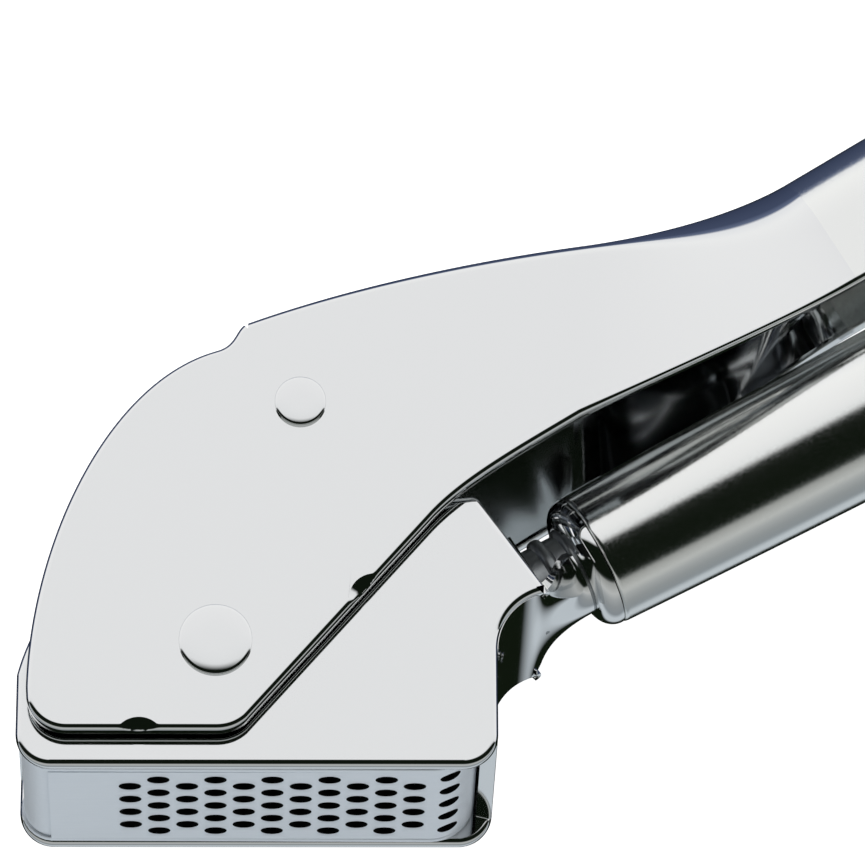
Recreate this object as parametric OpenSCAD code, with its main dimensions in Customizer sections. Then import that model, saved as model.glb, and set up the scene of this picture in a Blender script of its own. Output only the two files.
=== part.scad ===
// Hand garlic press of polished and satin stainless steel, lying on its side.
// Z is the fulcrum's axis and Z = 0 the plane that the press lies on. X runs along
// the sieve towards the handles, Y from the sieve up to the lever, in millimetres.

/* [Overall] */
// Clear width of the chamber between the body's side plates
chamber_w = 27.8; // [23:0.2:33.4]
// Length of the lower handle's tube
lower_tube_len = 110; // [90:1:135]
// Length of the upper handle's tube
upper_tube_len = 68; // [50:1:90]

/* [Body] */
// Distance from the fulcrum to the front of the body
body_front = 22.8; // [22:0.1:26]
// Distance from the fulcrum to the rear face of the body
body_rear = 32.3; // [31.5:0.1:37]
// Distance from the fulcrum down to the body's lower edge
body_depth = 14; // [13.4:0.1:17]
// Radius of the body's lower corners
corner_r = 4; // [3.8:0.1:4.8]
// Thickness of the body's side plates
body_plate_t = 1.9; // [1.5:0.1:2.5]
// Thickness of the front wall, the rear wall and the neck web
wall_t = 1.8; // [1.4:0.1:2.2]

/* [Lever] */
// Thickness of the lever's sheet
lever_plate_t = 2; // [1.6:0.1:2.5]
// Space between a body plate and the lever ear beside it
side_gap = 1.2; // [0.8:0.1:2]
// Radius of the nicks in the ears' lower edges
nick_r = 3; // [2:0.1:3.6]

/* [Handles] */
// Angle of the lower handle to the sieve
lower_angle = 29; // [27:0.5:30]
// Angle of the upper handle to the sieve
upper_angle = 31; // [30:0.5:34]
// Outside diameter of a handle tube at its front
tube_front_d = 16.2; // [13:0.1:17]
// Outside diameter of a handle tube at its widest
tube_wide_d = 18.6; // [17.4:0.1:20]
// Wall thickness of a handle tube
tube_wall = 1; // [0.8:0.1:1.4]
// Diameter of the hole that the press hangs from
eye_d = 5; // [4:0.1:6]
// Thickness of the tongue around that hole
tongue_t = 4; // [3:0.1:6]

/* [Rivets and pins] */
// Diameter of a fulcrum rivet's shank
fulcrum_d = 6; // [4.8:0.1:7.2]
// Amount that a fulcrum rivet's head stands out beyond its shank
fulcrum_brim = 1.2; // [1:0.1:1.6]
// Diameter of the plunger pin
plunger_pin_d = 4; // [3.2:0.1:4.8]
// Amount that the plunger pin's head stands out beyond its shank
plunger_pin_brim = 0.95; // [0.8:0.05:1.3]
// Height of the rivet heads
rivet_head_h = 0.7; // [0.5:0.05:1]
// Diameter of the sieve's hinge pin
hinge_pin_d = 2.4; // [1.8:0.1:3]
// Radial play of a part that turns on a pin
pin_play = 0.05; // [0.02:0.01:0.08]

/* [Sieve] */
// Thickness of the perforated plate
sieve_t = 1; // [0.8:0.1:1.2]
// Height that the sieve lies above the body's lower edge
sieve_recess = 0.2; // [0.1:0.05:0.8]
// Diameter of a sieve hole
hole_d = 2.5; // [1.8:0.1:2.9]
// Distance between columns of holes, along the sieve
hole_pitch = 3.27; // [3.2:0.01:3.5]
// Distance between the holes of one column
hole_gap = 4.8; // [4:0.1:5.2]
// Number of columns of holes in the flat plate
hole_columns = 11; // [5:2:11]
// Thickness of the sieve's side rails
rail_t = 1.2; // [1:0.1:1.6]
// Height of the side rails
rail_h = 9.4; // [8:0.1:11]
// Play between the sieve and the body's side plates
sieve_play = 0.15; // [0.1:0.01:0.3]

/* [Plunger] */
// Thickness of the plunger's shoe
shoe_t = 4; // [3:0.1:5]
// Distance from the fulcrum to the rear end of the shoe
shoe_rear = 25.3; // [24:0.1:25.4]
// Play between the shoe and the sieve, under it and at its sides
shoe_play = 0.4; // [0.3:0.05:0.8]
// Width of the bracket that carries the shoe
bracket_w = 16; // [12:0.5:18]
// Thickness of the bracket's two cheeks
cheek_t = 3; // [2:0.1:4]

/* [Hidden] */
$fn = 64;
eps = 0.01;

// Widths, as half distances from the middle plane
half_chamber = chamber_w / 2;
half_body = half_chamber + body_plate_t;
half_gap = half_body + side_gap;
half_lever = half_gap + lever_plate_t;
half_press = half_lever + rivet_head_h;

// Pivots in the side view
fulcrum = [0, 0];
plunger_pivot = [9.7, 28.9];
sieve_pivot = [-body_front + corner_r, -body_depth + corner_r];

// Levels and faces of the sieve
sieve_low = -body_depth + sieve_recess;
sieve_top = sieve_low + sieve_t;
barrel_r = sieve_pivot.y - sieve_low;
sieve_bend_r = 4.3;
sieve_rear = body_rear - wall_t - 2.6;
bend_x = sieve_rear - sieve_bend_r;
rail_low = -body_depth + 0.1;
rail_top = rail_low + rail_h;
half_sieve = half_chamber - sieve_play;
half_floor = half_sieve - rail_t;
first_column = -9.8;

// Handles: the front of each tube's axis, and the tube's profile
lower_front = [43.7, 16.2];
seam = [70.6, 54.6];
front_r = tube_front_d / 2;
wide_r = tube_wide_d / 2;
wide_at = 75;
slot_w = 10.4;
slot_len = 26;
neck_r = front_r * 0.7;
collar_len = 2.4;
plug_len = 6;
tongue_reach = 17;
tongue_r = 5.6;

// Points of a circle's arc from one angle to another
function arc(c, r, a0, a1, n = 8) =
    [for (i = [0:n]) let (a = a0 + (a1 - a0) * i / n) c + r * [cos(a), sin(a)]];
// Points of a cubic curve
function curve(p, q, r, s, n = 10) =
    [for (i = [0:n]) let (t = i / n, u = 1 - t)
        u * u * u * p + 3 * u * u * t * q + 3 * u * t * t * r + t * t * t * s];
// A point on a line that starts at p in a direction
function along(p, angle, d) = p + d * [cos(angle), sin(angle)];

// Moves a piece from the middle plane to its height above the resting plane
module at_middle() translate([0, 0, half_press]) children();
// Extrudes an outline to both sides of the middle plane
module slab(half) translate([0, 0, -half]) linear_extrude(2 * half) children();
// Two mirrored plates, from one distance off the middle plane to another
module both(from, to) {
    translate([0, 0, from]) linear_extrude(to - from) children();
    translate([0, 0, -to]) linear_extrude(to - from) children();
}
// Stands a turned profile on a handle's axis: x is the radius, y the way along
module turned(start, angle) translate([start.x, start.y, 0])
    rotate([0, 0, angle - 90]) rotate([-90, 0, 0]) rotate_extrude() children();

// ---- Body ----

// Lower corner of the body's rear edge, where the neck leaves it
neck_foot = [body_rear, 0.3];
neck_bend_r = 6.9;
neck_tip = neck_foot + neck_bend_r * [1 + cos(98), sin(98)];
plate_peak = [31, 18.6];

function body_outline() = concat(
    arc([-body_front + corner_r, -body_depth + corner_r], corner_r, 180, 270),
    arc([body_rear - corner_r, -body_depth + corner_r], corner_r, 270, 360),
    arc(neck_foot + [neck_bend_r, 0], neck_bend_r, 180, 98),
    arc(plate_peak - [1.6, 1.2], 1.2, 30, 95, 4),
    curve([-5, 15.2], [-15, 14], [-21, 4], [-body_front + 0.1, -3]));

front_wall_h = 8;
module front_wall_shape() intersection() {
    difference() {
        polygon(body_outline());
        translate([wall_t, 0]) polygon(body_outline());
    }
    translate([-body_front, sieve_pivot.y + barrel_r - 0.2]) square([6, front_wall_h]);
}

module rear_wall_shape() {
    translate([body_rear - wall_t, -body_depth + corner_r])
        square([wall_t, neck_foot.y + body_depth - corner_r]);
    intersection() {
        translate([body_rear - corner_r, -body_depth + corner_r]) difference() {
            circle(corner_r);
            circle(corner_r - wall_t);
        }
        translate([body_rear - corner_r + 1.6, -body_depth]) square([corner_r, corner_r + eps]);
    }
}

module body_shell() color("#d9dcde") at_middle() difference() {
    union() {
        both(half_chamber, half_body) polygon(body_outline());
        slab(half_chamber + eps) front_wall_shape();
        slab(half_chamber + eps) rear_wall_shape();
    }
    translate([fulcrum.x, fulcrum.y, -half_press]) cylinder(d = fulcrum_d, h = 2 * half_press);
    hinge_seat();
}

// Depth of the blind seats of the sieve's hinge pin in the side plates
hinge_seat_depth = 1.1;
module hinge_seat() translate([sieve_pivot.x, sieve_pivot.y, -half_chamber - hinge_seat_depth])
    cylinder(d = hinge_pin_d, h = 2 * (half_chamber + hinge_seat_depth));

// Curved sheet that closes the neck from below
module neck_web() color("#b9bec4") at_middle() difference() {
    slab(half_chamber) polygon(concat(
        arc(neck_foot + [neck_bend_r, 0], neck_bend_r, 180, 98),
        arc(neck_foot + [neck_bend_r, 0], neck_bend_r + wall_t, 98, 180)));
    neck_spigot();
}

// Turned neck that joins the body plates to the handle, with two grooves around it
neck_back = 9.5;
neck_reach = 7;
neck_ring_r = neck_r - 0.4;
groove_depth = 0.6;
groove_slope = 0.3;
// Start and end of each groove, from the neck's back end
grooves = [[2, 3.4], [5.2, 6.4]];
module neck_spigot() turned(lower_front, lower_angle) polygon(concat(
    [[0, -neck_back], [neck_ring_r, -neck_back]],
    [for (g = grooves) each [
        [neck_ring_r, g[0] - neck_back], [neck_ring_r - groove_depth, g[0] + groove_slope - neck_back],
        [neck_ring_r - groove_depth, g[1] - groove_slope - neck_back], [neck_ring_r, g[1] - neck_back]]],
    [[neck_ring_r, neck_reach], [0, neck_reach]]));

// Upper corner of the cross block, which follows the plates' slanted rear edge
block_top = along(neck_tip, 121, 8.5);
module neck_block() color("#7e868c") at_middle() {
    neck_spigot();
    intersection() {
        slab(half_chamber) polygon([
            neck_tip + [-1.2, wall_t + 0.4], block_top,
            block_top - [3, 1.6], neck_tip + [-5.8, wall_t + 0.6]]);
        slab(half_chamber) polygon(body_outline());
    }
}

module tube_collar() color("#e4e6e8") at_middle()
    turned(lower_front, lower_angle) polygon(concat(
        [[neck_r - 0.4, 0], [neck_r - 0.4, -collar_len], [neck_r, -collar_len]],
        arc([front_r - collar_len, 0], collar_len - 0.15, -80, 0)));

// ---- Handles ----

// Outer radius of a tube, along a shallow barrel curve
function tube_r(s) = wide_r - (wide_r - front_r) * pow((s - wide_at) / wide_at, 2);
tube_steps = 10;
function tube_profile(from, to, inset) = [for (i = [0:tube_steps])
    let (s = from + (to - from) * i / tube_steps) [tube_r(s) - inset, s]];
function reversed(list) = [for (i = [len(list) - 1:-1:0]) list[i]];

module handle_tube(length) polygon(concat(
    [[front_r - tube_wall, 0.02]], [[front_r - 0.3, 0.02]],
    tube_profile(0.5, length, 0), reversed(tube_profile(0.5, length, tube_wall))));

module lower_handle_tube() color("#a9adad") at_middle()
    turned(lower_front, lower_angle) handle_tube(lower_tube_len);

// Domed plug pressed into a tube's rear end
module end_plug(length) {
    r = tube_r(length);
    polygon(concat([[0, length - plug_len]], [[tube_r(length - plug_len) - tube_wall - 0.05, length - plug_len]],
        [[r - tube_wall - 0.05, length], [r - 0.1, length]],
        [for (i = [1:6]) [(r - 0.1) * cos(i * 15), length + 4.2 * sin(i * 15)]]));
}

eye_at = along(lower_front, lower_angle, lower_tube_len + tongue_reach - tongue_r);
module lower_end_plug() color("#cfd3d6") at_middle() difference() {
    union() {
        turned(lower_front, lower_angle) end_plug(lower_tube_len);
        slab(tongue_t / 2) {
            translate(eye_at) circle(tongue_r);
            translate(along(lower_front, lower_angle, lower_tube_len)) rotate(lower_angle)
                translate([0, -tongue_r]) square([tongue_reach - tongue_r, 2 * tongue_r]);
        }
    }
    translate([eye_at.x, eye_at.y, -tongue_t]) cylinder(d = eye_d, h = 2 * tongue_t);
}

// ---- Lever ----

ear_corner_r = 4.6;
ear_low = -10.7;
ear_front = [-17, ear_low + ear_corner_r];
ear_heel_r = 5;
ear_heel = [0.2, ear_low + ear_heel_r];
head_cut = 42;
lever_top_y = 48.6;
lever_low_y = 27.5;
// The step where the web between the ears begins
web_start = [3.7, 38.8];
step_foot = [-0.1, 35.3];

function lever_top() = curve(web_start, [15, 43.2], [29, 46.6], [head_cut, lever_top_y], 8);
function ear_outline() = concat(
    arc(ear_front, ear_corner_r, 270, 190, 6),
    curve(ear_front + [-4.6, 0.6], [-21.2, 12], [-12.5, 31.5], step_foot, 12),
    [step_foot + [1.7, 0.7], web_start - [1.2, 1.2]],
    lever_top(),
    reversed(curve([25, 15.2], [28.6, 19.2], [34.5, 22.8], [head_cut, lever_low_y], 8)),
    arc(ear_heel, ear_heel_r, 313, 270, 5));

// Stations of the lever's neck, from the open channel to the round tube: centre,
// angle, height, share of the way from the ears' width to the tube's, corner radius
stations = [
    [[head_cut, (lever_top_y + lever_low_y) / 2], 0, lever_top_y - lever_low_y, 0, 2.4],
    [[54, 43.5], 14, 16.4, 0.42, 4],
    [[62, 48.6], 25, 14.6, 0.8, 6],
    [seam, upper_angle, 2 * front_r, 1, front_r - 0.05]];
last_station = len(stations) - 1;
function station_half(i) = half_lever - (half_lever - front_r) * stations[i][3];
slice_t = 0.05;
inner_reach = 0.3;

// Thin slice of the neck; the inner one is inset and reaches past the end planes
module station(i, inset) {
    s = stations[i];
    r = max(s[4] - inset, 0.4);
    reach = inset > 0 && (i == 0 || i == last_station) ? inner_reach : 0;
    at = i == 0 ? -reach : i == last_station ? -slice_t : -slice_t / 2;
    translate([s[0].x, s[0].y, 0]) rotate([0, 0, s[1]]) rotate([0, 90, 0])
        translate([0, 0, at]) linear_extrude(slice_t + reach) hull()
            for (u = [-1, 1], v = [-1, 1])
                translate([u * (station_half(i) - inset - r), v * (s[2] / 2 - inset - r)])
                    circle(r, $fn = 32);
}
module neck_loft(inset) for (i = [0:last_station - 1]) hull() {
    station(i, inset);
    station(i + 1, inset);
}

// Flat bar between two points of the side view, as wide as a half width to each side
module bar(p, q, half, r = 0.05) hull() for (c = [p, q])
    translate([c.x, c.y, -half]) cylinder(r = r, h = 2 * half, $fn = 12);

// Half width of the opening along the neck's underside, at a station
function slot_half(i) = i == 0 ? half_gap - 0.6 : slot_w / 2 + (station_half(i) - front_r) * 0.9;
module neck_slot() for (i = [0:last_station - 1]) hull() for (k = [i, i + 1]) {
    s = stations[k];
    past = k == 0 ? [-1, -0.5] : k == last_station ? along([0, 0], upper_angle, 1) : [0, 0];
    bar(s[0] + past, s[0] + past - (s[2] / 2 + 5) * [-sin(s[1]), cos(s[1])], slot_half(k));
}

module lever_neck() color("#dfe1e2") at_middle() difference() {
    neck_loft(0);
    neck_loft(lever_plate_t);
    neck_slot();
}

// Nicks that the press tool leaves in the ears' lower edge and slanted rear edge
nick_x = -8.7;
heel_nick = [17.6, 5.6];
module lever_head() color("#dfe1e2") at_middle() difference() {
    union() {
        both(half_gap, half_lever) polygon(ear_outline());
        slab(half_gap + eps) polygon(concat(lever_top(),
            reversed([for (p = lever_top()) p - [0, lever_plate_t * 1.05]])));
    }
    translate([fulcrum.x, fulcrum.y, -half_press])
        cylinder(d = fulcrum_d + 2 * pin_play, h = 2 * half_press);
    translate([plunger_pivot.x, plunger_pivot.y, -half_press])
        cylinder(d = plunger_pin_d, h = 2 * half_press);
    translate([nick_x, ear_low - nick_r * 0.62, -half_press]) cylinder(r = nick_r, h = 2 * half_press);
    translate([heel_nick.x, heel_nick.y, -half_press]) cylinder(r = nick_r * 0.7, h = 2 * half_press);
}

module upper_handle_tube() color("#a9adad") at_middle() difference() {
    turned(seam, upper_angle) handle_tube(upper_tube_len);
    slot_end = along(seam, upper_angle, slot_len);
    slot_start = along(seam, upper_angle, -1);
    down = upper_angle - 90;
    hull() for (c = [slot_start, slot_end]) translate([c.x, c.y, 0]) rotate([0, 0, down])
        rotate([0, 90, 0]) translate([0, 0, 1]) cylinder(d = slot_w, h = 2 * wide_r);
}

module upper_end_plug() color("#cfd3d6") at_middle()
    turned(seam, upper_angle) end_plug(upper_tube_len);

// ---- Rivets and pins ----

// Flat-topped head with a rounded rim, on the outside of a lever ear
module rivet_head(r) rotate_extrude() polygon(concat([[0, 0], [r, 0]],
    arc([r - rivet_head_h * 0.8, rivet_head_h * 0.2], rivet_head_h * 0.8, 0, 90, 6), [[0, rivet_head_h]]));

module fulcrum_rivets() color("#d4d7d9") at_middle() for (side = [0, 1]) mirror([0, 0, side]) {
    translate([fulcrum.x, fulcrum.y, half_chamber])
        cylinder(d = fulcrum_d, h = half_lever - half_chamber);
    translate([fulcrum.x, fulcrum.y, half_lever]) rivet_head(fulcrum_d / 2 + fulcrum_brim);
}

module fulcrum_washers() color("#9a9ea1") at_middle() for (side = [0, 1]) mirror([0, 0, side])
    translate([fulcrum.x, fulcrum.y, half_body]) difference() {
        cylinder(d = fulcrum_d + 5, h = side_gap - pin_play);
        translate([0, 0, -1]) cylinder(d = fulcrum_d, h = side_gap + 2);
    }

module sieve_hinge_pin() color("#8d9296") at_middle() hinge_seat();

module plunger_pin() color("#d4d7d9") at_middle() {
    translate([plunger_pivot.x, plunger_pivot.y, -half_lever])
        cylinder(d = plunger_pin_d, h = 2 * half_lever);
    for (side = [0, 1]) mirror([0, 0, side]) translate([plunger_pivot.x, plunger_pivot.y, half_lever])
        rivet_head(plunger_pin_d / 2 + plunger_pin_brim);
}

module pin_spacers() color("#9a9ea1") at_middle() for (side = [0, 1]) mirror([0, 0, side])
    translate([plunger_pivot.x, plunger_pivot.y, bracket_w / 2 + pin_play]) difference() {
        cylinder(d = plunger_pin_d + 2.4, h = half_gap - bracket_w / 2 - pin_play);
        translate([0, 0, -1]) cylinder(d = plunger_pin_d, h = half_gap);
    }

// ---- Plunger ----

shoe_low = sieve_top + shoe_play;
shoe_top = shoe_low + shoe_t;
shoe_flat_x = 3;
rocker_r = 11;
hub_r = plunger_pin_d / 2 + 2.4;
shoe_half = half_floor - shoe_play;
bracket_foot = [3, 22];

// Flat shoe with a front that curves up, so that it rolls clear of the sieve
module plunger_shoe() color("#c9cccd") at_middle() difference() {
    slab(shoe_half) difference() {
        polygon(concat(
            arc([shoe_flat_x, shoe_low + rocker_r], rocker_r, 215, 270, 8),
            arc([shoe_rear - 3, shoe_low + 3], 3, 270, 360, 5),
            [[shoe_rear, shoe_top + 1.2], [bracket_foot[1] + 1, shoe_top]],
            arc([shoe_flat_x, shoe_low + rocker_r], rocker_r - shoe_t, 270, 215, 8)));
    }
    shoe_rivet_holes();
}

rivet_rows = [6.5, 18.5];
shoe_rivet_d = 3;
module shoe_rivet_holes() for (x = rivet_rows) translate([x, shoe_low + 1.2, 0])
    rotate([-90, 0, 0]) cylinder(d = shoe_rivet_d, h = shoe_t);

module shoe_rivets() color("#b9bdbf") at_middle() for (x = rivet_rows)
    translate([x, shoe_low + 1.2, 0]) rotate([-90, 0, 0]) {
        cylinder(d = shoe_rivet_d, h = shoe_t - 1.2 + pad_t);
        translate([0, 0, shoe_t - 1.2 + pad_t]) rivet_head(shoe_rivet_d / 2 + 0.9);
    }

pad_t = 2;
// Bracket: a pad on the shoe, two cheeks and a hub on the plunger pin
module plunger_bracket() color("#b4b8ba") at_middle() difference() {
    union() {
        slab(bracket_w / 2) translate([bracket_foot[0], shoe_top])
            square([bracket_foot[1] - bracket_foot[0], pad_t]);
        both(bracket_w / 2 - cheek_t, bracket_w / 2) polygon([
            [bracket_foot[0], shoe_top + pad_t - eps], [bracket_foot[1], shoe_top + pad_t - eps],
            along(plunger_pivot, -10, hub_r), along(plunger_pivot, 190, hub_r)]);
        translate([plunger_pivot.x, plunger_pivot.y, -bracket_w / 2]) cylinder(r = hub_r, h = bracket_w);
    }
    translate([plunger_pivot.x, plunger_pivot.y, -half_press])
        cylinder(d = plunger_pin_d + 2 * pin_play, h = 2 * half_press);
    for (x = rivet_rows) translate([x, shoe_low + 1.2, 0]) rotate([-90, 0, 0])
        cylinder(d = shoe_rivet_d, h = shoe_t + pad_t);
}

// ---- Sieve ----

// Side view of the perforated plate: barrel, flat, bend and short rear wall
module sieve_profile() {
    translate(sieve_pivot) circle(barrel_r);
    translate([sieve_pivot.x, sieve_low]) square([bend_x - sieve_pivot.x, sieve_t]);
    intersection() {
        translate([bend_x, sieve_low + sieve_bend_r]) difference() {
            circle(sieve_bend_r);
            circle(sieve_bend_r - sieve_t);
        }
        translate([bend_x - eps, sieve_low]) square([sieve_bend_r + 1, sieve_bend_r]);
    }
    translate([sieve_rear - sieve_t, sieve_low + sieve_bend_r - eps])
        square([sieve_t, rail_top - sieve_low - sieve_bend_r]);
}

// Columns hold one hole fewer and one hole more in turn
function column_x(i) = first_column + i * hole_pitch;
function column_count(i) = i % 2 == 0 ? 4 : 5;
module sieve_plate() color("#a9b2bb") at_middle() difference() {
    slab(half_floor) sieve_profile();
    translate([sieve_pivot.x, sieve_pivot.y, -half_press])
        cylinder(d = hinge_pin_d + 2 * pin_play, h = 2 * half_press);
    for (i = [0:hole_columns - 1], k = [0:column_count(i) - 1])
        translate([column_x(i), sieve_low - 1, (k - (column_count(i) - 1) / 2) * hole_gap])
            rotate([-90, 0, 0]) cylinder(d = hole_d, h = sieve_t + 2);
    for (k = [-2:2]) translate([bend_x, sieve_low + sieve_bend_r, k * hole_gap])
        rotate([0, 0, -50]) rotate([0, 90, 0]) cylinder(d = hole_d, h = sieve_bend_r + 2);
}

module sieve_rails() color("#c3c8cc") at_middle() difference() {
    both(half_floor, half_sieve) {
        translate(sieve_pivot) circle(barrel_r);
        difference() {
            translate([sieve_pivot.x, rail_low]) square([sieve_rear - sieve_pivot.x, rail_h]);
            translate([sieve_rear - 4, rail_low]) difference() {
                square([5, 4]);
                translate([0, 4]) circle(4);
            }
        }
    }
    translate([sieve_pivot.x, sieve_pivot.y, -half_press])
        cylinder(d = hinge_pin_d + 2 * pin_play, h = 2 * half_press);
}

// Lip welded on the sieve's rear wall, which a fingernail pulls down
module sieve_latch_lip() color("#c3c8cc") at_middle()
    slab(5) translate([sieve_rear, rail_top - 1.6]) square([1.1, 1.6]);

body_shell();
neck_web();
neck_block();
tube_collar();
lower_handle_tube();
lower_end_plug();
fulcrum_rivets();
fulcrum_washers();
sieve_hinge_pin();
lever_head();
lever_neck();
upper_handle_tube();
upper_end_plug();
plunger_pin();
pin_spacers();
plunger_bracket();
plunger_shoe();
shoe_rivets();
sieve_plate();
sieve_rails();
sieve_latch_lip();
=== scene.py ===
from math import radians
import bmesh
import bpy
import numpy as np
from mathutils import Matrix, Vector


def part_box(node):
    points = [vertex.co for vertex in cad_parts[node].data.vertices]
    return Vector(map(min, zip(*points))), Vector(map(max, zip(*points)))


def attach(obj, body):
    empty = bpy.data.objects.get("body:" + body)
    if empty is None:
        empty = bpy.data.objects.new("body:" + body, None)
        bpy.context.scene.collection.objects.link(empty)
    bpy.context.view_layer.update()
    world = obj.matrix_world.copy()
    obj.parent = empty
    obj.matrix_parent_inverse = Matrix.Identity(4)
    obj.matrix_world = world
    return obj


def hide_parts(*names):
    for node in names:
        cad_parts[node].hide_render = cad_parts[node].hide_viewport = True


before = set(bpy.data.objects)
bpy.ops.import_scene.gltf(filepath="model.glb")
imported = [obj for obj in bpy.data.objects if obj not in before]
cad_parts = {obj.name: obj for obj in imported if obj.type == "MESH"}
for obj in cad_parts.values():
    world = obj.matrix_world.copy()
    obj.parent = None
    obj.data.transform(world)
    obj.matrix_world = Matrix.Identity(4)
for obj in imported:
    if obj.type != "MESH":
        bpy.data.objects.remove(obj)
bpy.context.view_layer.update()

# ---- Camera ----
# A long lens looks down on the side of the press that lies uppermost, tipped a
# little towards the sieve so that the sieve's underside shows. Millimetres.
CAMERA_ELEVATION = 70.2
CAMERA_TURN = -3.4
CAMERA_ROLL = 3.3
CAMERA_DISTANCE = 1169.0
CAMERA_AIM = (24.9, 25.45, 38.0)
FRAME_WIDTH_MM = 99.5

camera_data = bpy.data.cameras.new("camera")
camera_data.sensor_width = 36.0
camera_data.lens = camera_data.sensor_width * CAMERA_DISTANCE / FRAME_WIDTH_MM
camera_data.clip_end = 20.0
camera = bpy.data.objects.new("camera", camera_data)
bpy.context.scene.collection.objects.link(camera)
camera_turn = (Matrix.Rotation(radians(CAMERA_TURN), 4, "Z")
               @ Matrix.Rotation(radians(90 - CAMERA_ELEVATION), 4, "X")
               @ Matrix.Rotation(radians(CAMERA_ROLL), 4, "Z"))
camera_place = Vector(CAMERA_AIM) / 1000 + camera_turn @ Vector((0, 0, CAMERA_DISTANCE / 1000))
camera.matrix_world = Matrix.Translation(camera_place) @ camera_turn
bpy.context.scene.camera = camera


# ---- Light tent and floor ----
# The press lies on a pale, gently glowing table in a tent of cloth panels: a wide
# white one behind the lever, a dim one low in front of the sieve, dark cloth above.
def linear(hex_colour):
    """The linear colour of an sRGB hex value: each channel is taken through the sRGB curve."""
    channels = np.array([int(hex_colour[i:i + 2], 16) for i in (1, 3, 5)]) / 255
    bright = ((channels + 0.055) / 1.055) ** 2.4
    return (*np.where(channels <= 0.04045, channels / 12.92, bright), 1.0)


def add_node(tree, kind, links=(), **settings):
    """Adds a node: a setting is an input's value if the node has such an input, else a
    property; a link is (input of this node, node, output of that node)."""
    node = tree.nodes.new(kind)
    for name, value in settings.items():
        label = name.replace("_", " ").title()
        if label in node.inputs:
            node.inputs[label].default_value = value
        else:
            setattr(node, name, value)
    for here, other, there in links:
        tree.links.new(other.outputs[there], node.inputs[here])
    return node


# Angle around the press's length: 0 is level in front of the sieve, 90 overhead,
# 180 level behind the lever, and negative below the table's level
TENT = [(-180, "#46506A"), (-140, "#39425A"), (-112, "#11180F"), (-84, "#11180F"), (-76, "#C4CCD2"),
        (-62, "#C4CCD2"), (-50, "#8E959A"), (-29, "#979C9E"), (-12, "#A9ADAE"), (2, "#C1C3C2"),
        (15, "#B0B2B0"), (24, "#A0A2A0"), (30, "#3A3F3C"), (35, "#10160F"), (92, "#10160F"),
        (99, "#EDEEEF"), (104, "#F1F2F3"), (112, "#F6F6F7"), (150, "#FFFFFF"), (166, "#F4F5F8"),
        (170, "#6A7590"), (180, "#46506A")]
world = bpy.data.worlds.new("light_tent")
bpy.context.scene.world = world
world.use_nodes = True
tent = world.node_tree
direction = add_node(tent, "ShaderNodeTexCoord")
parts_of_it = add_node(tent, "ShaderNodeSeparateXYZ", [("Vector", direction, "Generated")])
forward = add_node(tent, "ShaderNodeMath", [(0, parts_of_it, "Y")], operation="MULTIPLY")
forward.inputs[1].default_value = -1.0
around = add_node(tent, "ShaderNodeMath", [(0, parts_of_it, "Z"), (1, forward, 0)], operation="ARCTAN2")
share = add_node(tent, "ShaderNodeMapRange", [("Value", around, 0)])
share.inputs["From Min"].default_value = -np.pi
share.inputs["From Max"].default_value = np.pi
cloth = add_node(tent, "ShaderNodeValToRGB", [("Fac", share, "Result")])
while len(cloth.color_ramp.elements) < len(TENT):
    cloth.color_ramp.elements.new(0.5)
for element, (angle, colour) in zip(cloth.color_ramp.elements, TENT):
    element.position = (angle + 180) / 360
for element, (angle, colour) in zip(cloth.color_ramp.elements, TENT):
    element.color = linear(colour)
tent.links.new(cloth.outputs["Color"], tent.nodes["Background"].inputs["Color"])

FLOOR_HALF = 3.0
floor_mesh = bpy.data.meshes.new("floor")
floor_corners = np.array([(-1, -1, 0), (1, -1, 0), (1, 1, 0), (-1, 1, 0)]) * FLOOR_HALF
floor_mesh.from_pydata(floor_corners, [], [(0, 1, 2, 3)])
floor = bpy.data.objects.new("floor", floor_mesh)
bpy.context.scene.collection.objects.link(floor)
floor.visible_glossy = False
table_top = bpy.data.materials.new("glowing_white_acrylic")
table_top.use_nodes = True
table_surface = table_top.node_tree.nodes["Principled BSDF"]
table_surface.inputs["Base Color"].default_value = linear("#F4F5F6")
table_surface.inputs["Roughness"].default_value = 0.9
table_surface.inputs["Emission Color"].default_value = linear("#FFFFFF")
table_surface.inputs["Emission Strength"].default_value = 1.0
floor_mesh.materials.append(table_top)
bpy.context.scene.view_settings.view_transform = "Standard"


# ---- Lever ----
# One pressing of 2 mm stainless sheet: two flat ears joined by a web along their upper
# edge, drawn in to a round neck that is welded to the handle's tube and mirror polished.
def new_steel(name, colour, roughness, metallic=1.0):
    """A steel's material with its shader's own values set, its tree and its shader."""
    material = bpy.data.materials.new(name)
    material.use_nodes = True
    tree = material.node_tree
    shader = tree.nodes["Principled BSDF"]
    shader.inputs["Base Color"].default_value = linear(colour)
    shader.inputs["Metallic"].default_value = metallic
    shader.inputs["Roughness"].default_value = roughness
    return material, tree, shader


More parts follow.
